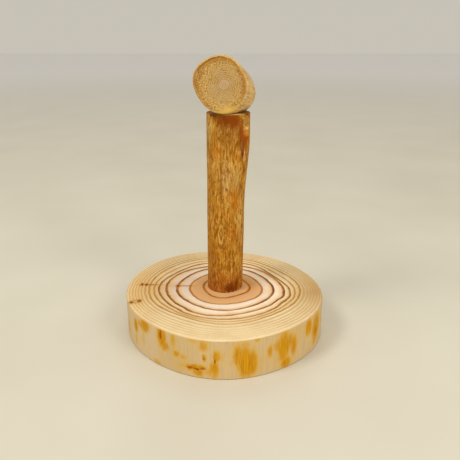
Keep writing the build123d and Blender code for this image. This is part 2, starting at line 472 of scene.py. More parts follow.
class Look:
    """A node material written as plain expressions."""

    def __init__(self, name, specular=0.5, metallic=0.0):
        self.material = bpy.data.materials.new(name)
        self.material.use_nodes = True
        self.tree = self.material.node_tree
        self.tree.nodes.clear()
        self.surface = self.tree.nodes.new("ShaderNodeBsdfPrincipled")
        self.surface.inputs["Specular IOR Level"].default_value = specular
        self.surface.inputs["Metallic"].default_value = metallic
        out = self.tree.nodes.new("ShaderNodeOutputMaterial")
        self.tree.links.new(self.surface.outputs["BSDF"], out.inputs["Surface"])

    def node(self, kind, inputs=(), **settings):
        made = self.tree.nodes.new(kind)
        for key, value in settings.items():
            setattr(made, key, value)
        for key, value in dict(inputs).items():
            self.plug(made.inputs[key], value)
        return made

    def value(self, output, kind, inputs=(), **settings):
        return Value(self, self.node(kind, inputs, **settings).outputs[output])

    def plug(self, socket, value):
        if isinstance(value, Value):
            self.tree.links.new(value.socket, socket)
        else:
            socket.default_value = value

    def math(self, operation, *values, clamp=False):
        return self.value(0, "ShaderNodeMath", enumerate(values), operation=operation, use_clamp=clamp)

    def most(self, first, second):
        return self.math("MAXIMUM", first, second)

    def vector(self, operation, *values):
        output = "Value" if operation in ("LENGTH", "DOT_PRODUCT") else "Vector"
        return self.value(output, "ShaderNodeVectorMath", enumerate(values), operation=operation)

    def length(self, vector):
        return self.vector("LENGTH", vector)

    def place(self, matrix=None):
        """Position on the object in millimetres, in the frame given."""
        position = self.value("Object", "ShaderNodeTexCoord")
        if matrix is None:
            return position * (1000.0, 1000.0, 1000.0)
        return self.value("Vector", "ShaderNodeMapping", {
            "Vector": position, "Location": matrix.to_translation(), "Rotation": matrix.to_euler(),
            "Scale": (MM, MM, MM)}, vector_type="TEXTURE")

    def split(self, vector):
        made = self.node("ShaderNodeSeparateXYZ", {0: vector})
        return [Value(self, output) for output in made.outputs]

    def join(self, x, y, z):
        return self.value(0, "ShaderNodeCombineXYZ", {0: x, 1: y, 2: z})

    def noise(self, vector, detail=3.0, roughness=0.5, distortion=0.0):
        return self.value("Fac", "ShaderNodeTexNoise", {
            "Vector": vector, "Scale": 1.0, "Detail": detail, "Roughness": roughness,
            "Distortion": distortion})

    def band(self, value, low, high, bottom=0.0, top=1.0):
        """Maps low..high smoothly to bottom..top and holds the ends."""
        return self.value("Result", "ShaderNodeMapRange", {
            "Value": value, "From Min": low, "From Max": high, "To Min": bottom, "To Max": top},
            interpolation_type="SMOOTHSTEP")

    def ramp(self, value, *stops):
        """Colour along a value, through stops of (place, colour)."""
        made = self.node("ShaderNodeValToRGB", {"Fac": value})
        elements = made.color_ramp.elements
        while len(elements) < len(stops):
            elements.new(0.5)
        for element, (place, _) in zip(elements, stops):
            element.position = place
        for element, (_, colour) in zip(elements, stops):
            element.color = (*colour, 1.0)
        return Value(self, made.outputs["Color"])

    def mix(self, factor, first, second, blend="MIX"):
        made = self.node("ShaderNodeMix", data_type="RGBA", blend_type=blend)
        self.plug(made.inputs[0], factor)
        for socket, value in ((made.inputs[6], first), (made.inputs[7], second)):
            self.plug(socket, (*value, 1.0) if isinstance(value, tuple) else value)
        return Value(self, made.outputs[2])

    def tinted(self, colour, value, low, high, depth, tint):
        """The colour, tinted up to depth where the value goes from low to high."""
        return self.mix(self.band(value, low, high, 0.0, depth), colour, tint)

    def spot(self, point, centre, sizes, power=1.0):
        """1 at a place, falling smoothly to 0 round it."""
        away = (point - centre) / sizes
        squared = self.vector("DOT_PRODUCT", away, away)
        if power != 1:
            squared = self.math("POWER", squared, power)
        return self.math("EXPONENT", squared * -1.0)

    def sheen(self, point, sizes, low, high):
        """Roughness that drifts softly between two values."""
        return self.band(self.noise(point / sizes), 0.3, 0.7, low, high)

    def finish(self, colour, roughness, height, strength, distance):
        """Plugs the looks into the surface.  The height is in millimetres."""
        bump = {"Strength": strength, "Distance": distance * MM, "Height": height}
        normal = self.value("Normal", "ShaderNodeBump", bump)
        for name, value in (("Base Color", colour), ("Roughness", roughness), ("Normal", normal)):
            self.plug(self.surface.inputs[name], value)
        return self.material


def by_facing(look, direction, low, high, side, end):
    """Colour and height of the side, or of the end where the surface faces a direction of the object."""
    normal = look.value("Normal", "ShaderNodeTexCoord")
    level = look.band(abs(look.vector("DOT_PRODUCT", normal, direction)), low, high)
    return [look.mix(level, *pair) for pair in zip(side, end)]


def strongest(look, point, power, spots):
    """Strength of the strongest of several spots, each a centre, half-sizes and depth."""
    total = 0
    for centre, sizes, depth in spots:
        total = look.most(total, look.spot(point, centre, sizes, power) * depth)
    return total


# ---- Wood of the slice ----

# Growth rings of the slice, round RING_CENTRE in mm.  Curves run through their radii every 15 degrees.
RING_CENTRE = (1, 7.6, 0)
TRACE_ANGLES = np.radians(np.arange(0, 360, 15))
RINGS = (   # mean radius in mm, its lobes, strength of the dark line, its width in mm, its colour
    (21.6, ((1, 3.4, -73), (2, 0.6, -85), (3, 0.3, 6), (4, 0.6, -18), (5, 0.4, -27)),
     1, 2.1, (0.32, 0.105, 0.006)),
    (33.1, ((1, 4.9, -83), (2, 0.3, -82), (3, 0.5, -26), (4, 0.4, -26), (5, 0.4, -31)),
     0.9, 1.7, (0.35, 0.115, 0.014)),
    (43.7, ((1, 4.8, -91), (2, 0.5, -50), (3, 0.4, -26), (4, 0.3, -4), (5, 0.6, -22)),
     1, 2, (0.19, 0.055, 0.001)),
    (52.5, ((1, 6.3, -97), (2, 1.2, -5), (3, 0.2, 10), (4, 1, -21), (5, 0.5, -25)),
     1, 2, (0.2, 0.075, 0.001)),
    (58.3, ((1, 6.3, -102), (2, 1, -43), (3, 1.1, -37), (4, 0.9, -14), (5, 0.9, -20), (6, 0.6, -3)),
     0.97, 1.8, (0.235, 0.095, 0.002)),
    (67.9, ((1, 4.1, -113), (2, 1.9, -28), (3, 0.4, -16), (4, 0.8, -3), (5, 1, -13), (7, 0.4, 11)),
     0.85, 1.6, (0.32, 0.165, 0.015)))
RING_DENTS = (   # places where the rings bend inwards: centre, half-sizes, depth in mm
    ((49, -26, 0), (6, 7, 1), 1.5), ((57, -14.5, 0), (7, 6, 1), -0.8),
    ((-36, -35.5, 0), (7, 5, 1), 1))
OUTER_RINGS = (0, 0.22, 0.37, 0.5, 0.62, 0.75, 0.88, 1)


def float_curve(look, value, points, smooth=True):
    """Curve through (place, value) points, both between 0 and 1."""
    made = look.node("ShaderNodeFloatCurve", {"Value": value})
    curve = made.mapping.curves[0].points
    curve[0].location = points[0]
    curve[1].location = points[-1]
    for place, height in points[1:-1]:
        curve.new(place, height)
    for point in curve:
        point.handle_type = "AUTO" if smooth else "VECTOR"
    made.mapping.update()
    return Value(look, made.outputs["Value"])


def turn_of(look, arm):
    """Direction of a vector in its x and y, as a part of a full turn."""
    x, y, _ = look.split(arm)
    return look.math("FRACT", look.math("ARCTAN2", y, x) / (2 * pi) + 1)


def traced(look, turn, radii):
    """Radius in mm at a part of a full turn, through radii at even steps."""
    count = len(radii)
    points = [(step / count, float(radii[step % count]) / 100) for step in range(count + 1)]
    return float_curve(look, turn, points) * 100


def rim_radii():
    """Radii of the slice's own outline from the centre of the rings, in mm."""
    x, y = slab_rim()
    x = x / MM - RING_CENTRE[0]
    y = y / MM - RING_CENTRE[1]
    turns = np.arctan2(y, x) % (2 * pi)
    order = np.argsort(turns)
    return np.interp(TRACE_ANGLES, turns[order], np.hypot(x, y)[order], period=2 * pi)


def slab_end_grain(look, point):
    """Colour and height of the sawn and sanded end grain, with painted shadow of the branch at its right
    edge.
    """
    flat = point * (1, 1, 0)
    arm = flat - RING_CENTRE
    turn = turn_of(look, arm)
    wander = look.noise(flat / (6, 6, 1))
    length = look.length(arm) + (wander - 0.5) * 1.6
    for centre, size, push in RING_DENTS:
        length = length + look.spot(flat, centre, size) * push
    broad = look.noise(flat / (13, 13, 1), detail=2)
    fade = look.band(broad, 0.33, 0.62, 0.8, 1)
    front = look.spot(flat, (4, -94, 0), (58, 30, 1), 1.5)
    sides = 1 + front * -0.85
    rear = look.spot(flat, (-20, 84, 0), (90, 48, 1), 1.5)
    left = look.spot(flat, (-64, 30, 0), (40, 50, 1), 1.5)
    thin_depth = sides * (0.58 + (rear * 0.5 + left * 0.22))
    depth = fade * (1 + look.spot(flat, (5, -50, 0), (34, 30, 1), 1.5) * -0.3)

    zone = 0
    lines = []
    inner = 0
    for mean, lobes, strength, width, tint in RINGS:
        outer = traced(look, turn, lobed(mean, lobes, TRACE_ANGLES))
        wide = outer - inner
        zone = zone + look.math("DIVIDE", length - inner, wide, clamp=True)
        lines.append((*ring_line(look, length - outer, width), strength, tint))
        middle = (inner + outer) * 0.5
        inner = outer
    lines.append((*ring_line(look, length - middle, 1.5), sides * 0.8, tint))
    rim = traced(look, turn, rim_radii())
    outward = look.math("DIVIDE", length - inner, rim - inner, clamp=True)
    zone = (zone + outward) / (len(RINGS) + 1)
    count = len(OUTER_RINGS) - 1
    spacing = [(place, number / count) for number, place in enumerate(OUTER_RINGS)]
    part = look.math("FRACT", float_curve(look, outward, spacing, smooth=False) * count)
    thin = look.band(part, 0.42, 0.8) * look.band(part, 0.93, 1, 1, 0)
    thin *= look.band(outward, 0.05, 1, 1, 0.75) * thin_depth

    ground = look.ramp(zone, (0, (0.76, 0.43, 0.205)), (0.12, (0.78, 0.46, 0.225)),
                       (0.16, (0.74, 0.4, 0.17)), (0.27, (0.78, 0.48, 0.24)), (0.295, (0.92, 0.79, 0.63)),
                       (0.36, (0.97, 0.86, 0.71)), (0.42, (0.94, 0.77, 0.56)), (0.45, (0.98, 0.86, 0.7)),
                       (0.56, (0.95, 0.77, 0.54)), (0.6, (0.95, 0.8, 0.59)), (0.75, (0.9, 0.75, 0.48)),
                       (0.86, (0.87, 0.715, 0.43)), (0.97, (0.85, 0.68, 0.385)),
                       (1, (0.88, 0.72, 0.45)))
    cloud = look.noise(flat / (24, 24, 1))
    ground = look.tinted(ground, cloud, 0.4, 0.68, 0.3, (0.7, 0.46, 0.235))
    # Broad tints over parts of the top. The darkening at the right edge, round (86, -4), is painted shadow
    # of the branch.
    for centre, sizes, tint in (
            ((-48, 4, 0), (32, 42, 1), (0.69, 0.65, 0.63)),
            ((-76, -2, 0), (15, 44, 1), (0.95, 0.81, 0.58)),
            ((86, -4, 0), (24, 44, 1), (0.64, 0.54, 0.4)),
            ((24, 12, 0), (16, 24, 1), (0.86, 0.8, 0.72))):
        near = look.spot(flat, centre, sizes)
        ground = look.mix(near, ground, look.mix(1, ground, tint, "MULTIPLY"))
    colour = look.mix(thin, ground, (0.43, 0.235, 0.07))
    total = thin
    for number, (line, skirt, strength, tint) in enumerate(lines):
        if number == len(RINGS) - 1:
            strength = (0.25 + sides * 0.75) * strength
        skirt = skirt * strength * 0.55
        colour = look.mix(skirt, colour, (0.78, 0.41, 0.105))
        line = line * strength * depth
        colour = look.mix(line, colour, tint)
        total = look.most(total, line)

    streaks = look.join(turn * 380, length * 0.05, 0)
    rays = look.noise(streaks, detail=2)
    colour = look.tinted(colour, rays, 0.48, 0.75, 0.1, (0.5, 0.3, 0.14))
    pores = look.noise(flat / (0.4, 0.4, 1), roughness=0.7)
    colour = look.tinted(colour, pores, 0.35, 0.8, 0.2, (0.45, 0.27, 0.12))
    height = total * 0.1 + pores * 0.06
    return colour, height


def ring_line(look, gap, width):
    """Dark late wood at a ring's edge, and the warmer wood that leads up to it."""
    edge = look.band(gap, 0.38 * width, 0.68 * width, 1, 0)
    dark = look.band(gap, -1.05 * width, -0.2 * width) * edge
    return dark, look.band(gap, -2.9 * width, -0.5 * width) * edge


def branch_traces(look, point, colour):
    """Dark traces of small twigs on the left of the slice, running out from the pith."""
    wobble = look.noise(point / (2, 2, 3), detail=2)
    top = SLAB_TOP / MM
    marks = (
        ((-77.4, 8.8), (1.6, 2.9), 1), ((-73.2, 8.5), (1.8, 2.9), 1), ((-70, 8.2), (11, 1.1), 0.65),
        ((-68, 8.2), (1.8, 1.8), 0.6), ((-43.2, 5.6), (2, 3), 1), ((-38, 5.9), (9, 1.2), 0.6),
        ((-31.5, 5.6), (1.6, 2), 0.6), ((-74.8, -24), (2, 2.8), 1), ((-81.6, -26.8), (2.2, 2.6), 0.9),
        ((-78, -23.2), (3.6, 1), 0.5), ((-78.4, -27.6), (3.6, 1), 0.5))
    total = strongest(look, point, 1.4, [
        ((*place, top), (*sizes, 3), depth) for place, sizes, depth in marks])
    halo = strongest(look, point, 1, [
        ((*place, top), (1.3 * wide, 1.6 * deep, 3), 0.75 * depth) for place, (wide, deep), depth in marks])
    total = total * look.band(wobble, 0.3, 0.5, 0.72, 1)
    colour = look.mix(halo, colour, (0.68, 0.32, 0.07))
    return look.mix(total, colour, (0.155, 0.042, 0.001))


def side_place(look, point):
    """Distance round the slice, from its front to the right, and height, in millimetres."""
    x, y, z = look.split(point)
    turn = look.math("ARCTAN2", x, y * -1)
    return look.join(turn * (SLAB_RADIUS / MM), 0, z)


# Ochre remains of inner bark: distance round the side from the front, height, half-sizes, depth.
BARK_PATCHES = (
    (17.1, 16, 4.9, 14.8, 1), (12, 21, 3.7, 11, 0.9), (24.1, 14.8, 3.8, 11.2, 0.95), (20.6, 14, 4, 12, 1),
    (17.4, 30.6, 4.8, 3.6, 0.5), (27.9, 33.8, 2.5, 2.3, 0.6), (39.4, 20.4, 2.5, 5.7, 0.75),
    (43.5, 23.8, 2.9, 3.7, 0.5), (53.1, 21, 5.6, 14.4, 1), (55.4, 4.8, 5.5, 5.4, 0.9),
    (63.9, 18.4, 3.5, 10.8, 0.9), (47, 24, 3.5, 7, 0.7), (59.5, 24, 3, 8, 0.8), (83.3, 26.4, 5, 8, 0.95),
    (97.5, 21, 7, 14, 1), (94.5, 9, 2.6, 6.5, 0.7), (-92.5, 23.5, 3.4, 6.9, 0.95), (-92.5, 11, 2, 7.6, 0.4),
    (-76.6, 31, 6.6, 6.5, 0.9), (-84.5, 30, 4, 4, 0.6), (-79.7, 17.4, 2.2, 8.1, 0.35),
    (-54.8, 28.6, 4.7, 9.6, 1), (-51, 21.2, 4.4, 4.9, 0.8), (-42.5, 30.6, 2.2, 7.4, 0.6),
    (-39.6, 19.2, 3.2, 2.6, 0.8), (-33, 17, 3.6, 2.4, 0.5), (-60.8, 2, 5, 2.4, 0.55),
    (-15.6, 30.6, 3.6, 5.5, 0.65), (-14.9, 18.8, 1.8, 3.9, 0.8), (-22.9, 9, 8.8, 3.2, 1),
    (-20.3, 5.2, 4.8, 3.8, 0.85), (-5.1, 21.6, 2.9, 5.4, 0.9), (-6.7, 9.4, 3.4, 8.5, 0.9),
    (-10.8, 6.2, 3.2, 3.8, 0.6), (-35.2, 9.6, 2.2, 3.8, 0.4), (-0.7, 20.8, 1.6, 4.6, 0.4),
    (-24.8, 33.4, 5.1, 1.9, 0.4))
BARK_CORES = (
    (-55.5, 31, 1.3, 4.7, 0.95), (-58, 34, 1.4, 2.8, 0.5), (-51, 29, 1.1, 4.7, 0.4), (-21.9, 8, 3, 1.2, 1),
    (-27, 8.8, 3, 1.2, 0.9), (-16.5, 8.6, 2.4, 1.3, 0.8), (-6.4, 17.4, 1, 3.1, 0.9),
    (-14.9, 17.8, 0.8, 1.5, 0.6), (57.2, 16.4, 1.1, 4.9, 0.45), (96.6, 17.8, 1.5, 6.4, 0.7),
    (-92, 22.4, 1.6, 3.1, 0.35), (19.4, 4.4, 2.5, 3.8, 0.3), (22.5, 17, 0.8, 5.5, 0.35))


def patches(look, place, spots):
    """Strength of the largest of several soft-edged patches on the side."""
    return strongest(look, place, 1.5, [
        ((along, 0, height), (1.15 * half_width, 1, 1.08 * half_height), depth)
        for along, height, half_width, half_height, depth in spots])


def slab_side(look, point):
    """Colour and height of the debarked side."""
    place = side_place(look, point)
    streaks = look.noise(place / (1.5, 1, 30), roughness=0.6)
    fine = look.noise(place / (0.6, 1, 9), detail=2)
    cloud = look.noise(place / (15, 1, 24), detail=2)
    ground = look.ramp(streaks, (0.3, (0.565, 0.39, 0.19)), (0.48, (0.61, 0.45, 0.245)),
                       (0.7, (0.655, 0.505, 0.295)))
    ground = look.tinted(ground, cloud, 0.42, 0.66, 0.55, (0.615, 0.405, 0.14))
    pale = look.band(look.split(place)[0], -70, -44, 0.75, 0)
    ground = look.mix(pale, ground, (0.67, 0.52, 0.325))

    ragged = look.noise(place / (1.8, 1, 8), roughness=0.65)
    shift = look.join(ragged - 0.5, 0, cloud - 0.5) * (3.6, 0, 7)
    warped = place + shift
    rough = streaks * 1.6 + (ragged * 0.8 - 1.2)
    around = abs(look.split(place)[0])
    loose = look.noise(place / (11, 1, 26), detail=4, roughness=0.6)
    loose = look.band(loose, 0.5, 0.66) * look.band(around, 104, 116)
    kept = look.most(patches(look, warped, BARK_PATCHES), loose)
    raw = kept * 1.6 + rough
    halo = look.band(raw, -0.25, 0.8, 0, 0.65)
    bark = look.band(raw, 0.25, 1.45, 0, 0.97)
    core = patches(look, warped, BARK_CORES) * 1.6 + rough
    core = look.band(core, 0.35, 1.5, 0, 0.95)
    ochre = look.ramp(fine * 0.4 + streaks * 0.6, (0.36, (0.43, 0.172, 0.0005)),
                      (0.5, (0.58, 0.258, 0.0005)), (0.64, (0.66, 0.345, 0.003)))
    colour = look.mix(halo, ground, (0.68, 0.43, 0.075))
    colour = look.mix(bark, colour, ochre)
    colour = look.mix(core, colour, (0.36, 0.085, 0.001))
    colour = look.tinted(colour, fine, 0.45, 0.8, 0.22, (0.55, 0.33, 0.13))
    height = streaks * 0.25 + (bark * 0.1 + fine * 0.12)
    return colour, height


def slab_wood():
    look = Look("slab_wood_sawn_softwood", specular=0.05)
    point = look.place()
    top_colour, top_height = slab_end_grain(look, point)
    top = branch_traces(look, point, top_colour), top_height
    colour, height = by_facing(look, (0, 0, 1), 0.3, 0.62, slab_side(look, point), top)
    # Painted contact shadow: the side turns dark brown over its lowest 1.3 mm, where it meets the table.
    bottom = look.band(look.split(point)[2], 0, 1.3, 0.55, 0)
    colour = look.mix(bottom, colour, (0.25, 0.14, 0.05))
    roughness = look.sheen(point, (9, 9, 9), 0.58, 0.72)
    return look.finish(colour, roughness, height, 0.6, 0.6)


# ---- Wood of the branch ----

def stem_side(look, point):
    """Colour and height of the branch's debarked, oiled surface."""
    x, y, z = look.split(point)
    bent = look.noise(point / (12, 12, 34), detail=2)
    sway = (bent - 0.5) * 4
    moved = look.join(x + sway, y + sway, z)
    grain = look.noise(moved / (1.5, 1.5, 15), detail=4, roughness=0.62)
    fine = look.noise(moved / (0.6, 0.6, 6), roughness=0.6)
    flecks = look.noise(moved / (1.6, 1.6, 5), roughness=0.65, distortion=0.5)
    blotch = look.noise(point / (6, 6, 16), roughness=0.55)
    ground = look.ramp(grain * 0.62 + blotch * 0.38, (0.38, (0.25, 0.084, 0.003)),
                       (0.46, (0.385, 0.158, 0.008)), (0.53, (0.5, 0.238, 0.02)),
                       (0.62, (0.62, 0.35, 0.068)))
    rust = look.noise(point / (4.5, 4.5, 11), roughness=0.6)
    colour = look.tinted(ground, rust, 0.53, 0.64, 0.7, (0.46, 0.18, 0.009))
    for patch in STEM_PATCHES:
        colour = stem_mark(look, point, colour, *patch)
    narrow = look.noise(moved / (0.9, 0.9, 7), roughness=0.7)
    colour = look.tinted(colour, narrow, 0.46, 0.37, 0.55, (0.74, 0.47, 0.15))
    colour = look.tinted(colour, narrow, 0.54, 0.62, 0.62, (0.27, 0.085, 0.002))
    colour = look.tinted(colour, fine, 0.44, 0.28, 0.4, (0.74, 0.45, 0.13))
    colour = look.tinted(colour, fine, 0.52, 0.72, 0.45, (0.28, 0.09, 0.003))
    dark = look.band(flecks, 0.54, 0.63, 0, 0.8)
    colour = look.mix(dark, colour, (0.21, 0.055, 0.0005))
    height = grain * 0.3 + (fine * 0.2 + dark * -0.35)
    return colour, height


def on_stem(angle, level):
    """Place on the branch's surface, in millimetres, at an angle and a height above the slice."""
    index = int(round(angle % 360 / 360 * STEM_COLUMNS)) % STEM_COLUMNS
    radius = stem_radius(level * MM)[index] / MM
    centre_x = (STEM_X + STEM_LEAN_X * level * MM / (STEM_TOP - SLAB_TOP)) / MM
    turn = radians(angle)
    return (centre_x + radius * cos(turn), STEM_Y / MM + radius * sin(turn), SLAB_TOP / MM + level)


def stem_mark(look, point, colour, angle, level, wide, high, tint, depth):
    mark = look.spot(point, on_stem(angle, level), (wide, wide, high), 1.6)
    return look.mix(mark * depth, colour, tint)


# Broad patches and small sharp marks on the branch: angle, height above the slice, half-width, half-height
# in mm, colour, depth. The two thin marks on the top rim, 161 mm up, are painted shade under the stub.
STAIN, DARK, DEEP = (0.24, 0.05, 0.001), (0.24, 0.076, 0.002), (0.15, 0.028, 0.001)
RED, RUST, PALE = (0.4, 0.08, 0.002), (0.48, 0.155, 0.003), (0.64, 0.39, 0.1)
STEM_PATCHES = (
    (-88, 146, 9.5, 15, (0.28, 0.112, 0.01), 0.85), (-40, 156, 5, 8, (0.5, 0.29, 0.05), 0.7),
    (-148, 150, 4.5, 14, (0.54, 0.35, 0.09), 0.7), (-121, 130, 4, 8, RUST, 0.7),
    (-90, 108, 6, 17, (0.6, 0.4, 0.14), 0.55), (-42, 75, 4.5, 20, PALE, 0.5),
    (-57, 123, 3.2, 12, (0.52, 0.21, 0.015), 0.75), (-60, 89, 3.2, 10, RUST, 0.95),
    (-80, 92, 2.6, 4.5, RUST, 0.7), (-67, 56, 3.8, 10, RUST, 0.9), (-130, 118, 5, 10, PALE, 0.3),
    (-139, 44, 5.5, 26, (0.47, 0.195, 0.005), 0.8), (-98, 15, 4.5, 7, (0.42, 0.125, 0.006), 0.7),
    (-90, 0, 40, 17, (0.33, 0.08, 0.003), 0.88), (10, 60, 5, 18, RUST, 0.6), (150, 110, 5, 15, RUST, 0.7),
    (-172, 80, 5, 15, RUST, 0.5), (90, 20, 9, 14, DARK, 0.6))
STEM_MARKS_AND_PAINTED_SHADE = (
    (-86, 157, 9, 6, STAIN, 0.98), (-66, 156, 5, 6.5, STAIN, 0.97), (-122, 160, 5.5, 4, DARK, 0.75),
    (-51, 147, 2.5, 7, STAIN, 0.95), (-39, 141, 4.6, 6, RED, 0.97), (-30, 141, 3.4, 2.2, STAIN, 0.85),
    (-43, 134, 2.8, 9, STAIN, 0.97), (-33, 145, 2.6, 3.6, (0.6, 0.27, 0.03), 0.8),
    (-32, 149.5, 3, 1.5, (0.86, 0.52, 0.18), 0.9), (-50, 132, 1.5, 7, (0.7, 0.4, 0.12), 0.8),
    (-42.5, 126, 1.1, 6.5, DEEP, 0.9), (-38, 127, 0.8, 4.4, (0.8, 0.46, 0.14), 0.9),
    (-33.5, 129, 1, 7, DARK, 0.75), (-153, 135, 1.8, 7, (0.2, 0.115, 0.004), 0.92),
    (-32.5, 111, 1.5, 10, DARK, 0.92), (-39, 99, 1.2, 6, DARK, 0.9), (-103, 115, 1.3, 7, DARK, 0.85),
    (-104, 100, 1.4, 9, DARK, 0.8), (-91, 107, 0.9, 4, DARK, 0.75), (-103, 91, 1.3, 4, DARK, 0.9),
    (-64, 83, 2, 3, DARK, 0.6), (-74, 4, 6, 5, DEEP, 0.95), (-50, 7.5, 2.2, 5.5, DEEP, 0.85),
    (-76, 38, 1.1, 4, DARK, 0.9), (-76, 26, 1.1, 6, DARK, 0.8), (-90, 63, 1.6, 2.5, DARK, 0.85),
    (-82, 67, 1.3, 2.2, DARK, 0.75), (-120, 58, 1.1, 3.5, DARK, 0.85), (-115, 73, 1.3, 3.5, DARK, 0.8),
    (-134, 78, 2, 2.2, DARK, 0.65), (-110, 45, 3, 2.2, DARK, 0.6), (100, 60, 5, 10, DEEP, 0.8),
    # Painted shade: the two thin dark marks at 161 mm, on the top rim at the front corners, stand for the
    # shade under the stub.
    (60, 130, 4, 8, STAIN, 0.8), (-130, 161, 5.5, 1.7, DEEP, 0.95), (-30, 161, 4, 1.6, DEEP, 0.9),
    (-51, 137, 1.4, 6, DEEP, 0.85), (-45, 127.5, 2, 3, DEEP, 0.8),
    (-58, 107, 3, 11, (0.64, 0.44, 0.15), 0.45), (-132, 28, 5, 24, STAIN, 0.4),
    (-57, 83, 2.6, 6.5, RUST, 0.75))


def stem_details(look, point, colour):
    """Knot, stains and streaks, painted shade at the front corners of the top rim, the arch of wood round
    the knot, and a healed twig scar.
    """
    rough = look.noise(point / (1.8, 1.8, 5))
    jitter = look.join(rough - 0.5, 0, rough - 0.5) * (3, 0, 9)
    moved = point + jitter
    for mark in STEM_MARKS_AND_PAINTED_SHADE:
        colour = stem_mark(look, moved, colour, *mark)
    arch = oval(look, point, (-57, 124), (3.4, 15), 0.12)
    upper = look.band(look.split(point)[2], 160, 166)
    line = look.band(abs(arch - 0.95), 0.05, 0.22, 0.85, 0) * upper
    colour = look.mix(line, colour, DARK)
    scar = oval(look, point, (-103, 56.5), (2.4, 9.5), 0.55)
    for reach, tint, depth in ((0.42, DARK, 0.6), (0.84, (0.7, 0.42, 0.11), 0.45), (1.22, DARK, 0.45)):
        line = look.band(abs(scar - reach), 0.06, 0.24, depth, 0)
        colour = look.mix(line, colour, tint)
    return colour


def oval(look, point, place, sizes, rough):
    """Distance from the middle of an upright oval on the branch, 1 on its outline."""
    away = (point - on_stem(*place)) / (sizes[0], 30, sizes[1])
    noise = look.noise(point / (2, 2, 5), detail=2)
    return look.length(away) + (noise - 0.5) * rough


def stem_wood():
    look = Look("stem_wood_oiled_branch", specular=0.06)
    point = look.place()
    side_colour, side_height = stem_side(look, point)
    side_colour = stem_details(look, point, side_colour)
    flat = point - (STEM_X / MM + 1.2, STEM_Y / MM, 0)
    end_colour, end_height = fine_end_grain(look, flat * (1, 1, 0), 17)
    # Painted shade: the top end is darkened because it lies in shade under the stub. A painted pool of
    # golden bounce light then lightens its front, under the stub's overhang.
    end_colour = look.mix(0.75, end_colour, (0.17, 0.055, 0.006))
    painted_bounce_light = look.spot(point, on_stem(-75, 161), (12, 9, 9), 2)
    end_colour = look.mix(painted_bounce_light, end_colour, (0.95, 0.7, 0.24))
    side = side_colour, side_height
    colour, height = by_facing(look, (0, 0, 1), 0.55, 0.85, side, (end_colour, end_height))
    roughness = look.sheen(point, (4, 4, 14), 0.45, 0.62)
    return look.finish(colour, roughness, height, 0.55, 0.5)


# ---- Wood of the stub ----

def fine_end_grain(look, across, radius):
    """Colour and height of a small branch's end grain; across is the place from its pith, in mm."""
    length = look.length(across)
    wander = look.noise(across / (6, 6, 1))
    ripple = look.noise(across / (1.6, 1.6, 1), detail=2)
    distance = length + (wander - 0.5) * 2.4
    distance = distance + (ripple - 0.5) * 0.9
    part = look.math("FRACT", distance / 1.65)
    line = look.band(part, 0.2, 0.7) * look.band(part, 0.82, 1, 1, 0)
    broken = look.noise(across / (1.5, 1.5, 1), detail=4, roughness=0.8)
    patchy = look.noise(across / (6, 6, 1), detail=2)
    broken = broken * 0.6 + patchy * 0.4
    line *= look.band(broken, 0.42, 0.56, 0.05, 1) * look.band(length, 11, 20, 1, 0.5)
    cloud = look.noise(across / (7, 7, 1))
    ground = look.ramp(distance / radius, (0, (0.41, 0.285, 0.155)), (0.3, (0.44, 0.295, 0.132)),
                       (0.72, (0.49, 0.31, 0.103)), (0.86, (0.42, 0.235, 0.062)),
                       (1, (0.34, 0.165, 0.036)))
    ground = look.tinted(ground, cloud, 0.42, 0.66, 0.6, (0.49, 0.285, 0.072))
    arcs = look.spot(across, (-4, 13.5, 0), (12, 7, 1))
    line = line * (0.64 + arcs * 0.36)
    colour = look.mix(line, ground, (0.24, 0.11, 0.014))
    speck = look.noise(across / (1.2, 1.2, 1), detail=4, roughness=0.9)
    outer = look.band(length + patchy * 18, 18, 28, 0.2, 1)
    dark = look.band(speck, 0.51, 0.59, 0, 0.9) * outer
    colour = look.mix(dark, colour, (0.22, 0.095, 0.008))
    light = look.band(speck, 0.48, 0.4, 0, 0.9) * outer
    colour = look.mix(light, colour, (0.8, 0.55, 0.19))
    edge = length + (wander - 0.5) * 1.4
    colour = look.mix(look.band(edge, 3.2, 4.4, 0.4, 0), colour, (0.56, 0.38, 0.19))
    colour = look.mix(look.band(edge, 1.2, 2.8, 0.65, 0), colour, (0.43, 0.27, 0.155))
    height = line * -0.12 + speck * 0.16
    return colour, height


# Pinholes, short dark arcs and browner zones on the stub's front end: place across it, half-sizes, depth.
STUB_MARKS = (
    ((13.9, 9.9), (1, 0.7), 1), ((15.5, 7.4), (0.7, 0.6), 0.85), ((11.8, 14.4), (0.9, 0.7), 0.75),
    ((3.1, -18.4), (1, 0.8), 0.75), ((-10.6, 7.1), (0.8, 0.7), 0.6), ((-11, -5.8), (0.8, 0.7), 0.55),
    ((1, 10.7), (1, 0.5), 0.5), ((16.5, -15.5), (1.8, 1.2), 0.5), ((1.5, -14), (1, 0.7), 0.5),
    ((17.5, 3.5), (0.9, 0.8), 0.9), ((18.2, -1.5), (0.8, 1), 0.8), ((16, 0.5), (0.7, 0.7), 0.6),
    ((17, -6.5), (0.9, 0.7), 0.7), ((-16.5, 4), (0.9, 0.7), 0.7), ((-8, 3), (0.8, 0.6), 0.6),
    ((-14.5, -2), (0.8, 0.6), 0.6), ((12.5, -14.5), (0.9, 0.9), 0.6), ((-13.7, 14.4), (1.4, 1.1), 0.85),
    ((-11.6, 16.6), (1.4, 1), 0.85), ((-2.1, 20.3), (2.2, 0.8), 0.85), ((19.6, 0), (2, 14), 0.42),
    ((0, 19), (13, 3.4), 0.36), ((-16, 9), (3, 6), 0.3))


def stub_marks(look, across, colour):
    rough = look.noise(across / (1.6, 1.6, 1))
    jitter = look.join(rough - 0.5, rough - 0.5, 0) * (2, 2, 0)
    moved = across + jitter
    total = strongest(look, moved, 1.3, [
        ((*place, 0), (*sizes, 1), depth) for place, sizes, depth in STUB_MARKS])
    return look.mix(total, colour, (0.215, 0.085, 0.01))


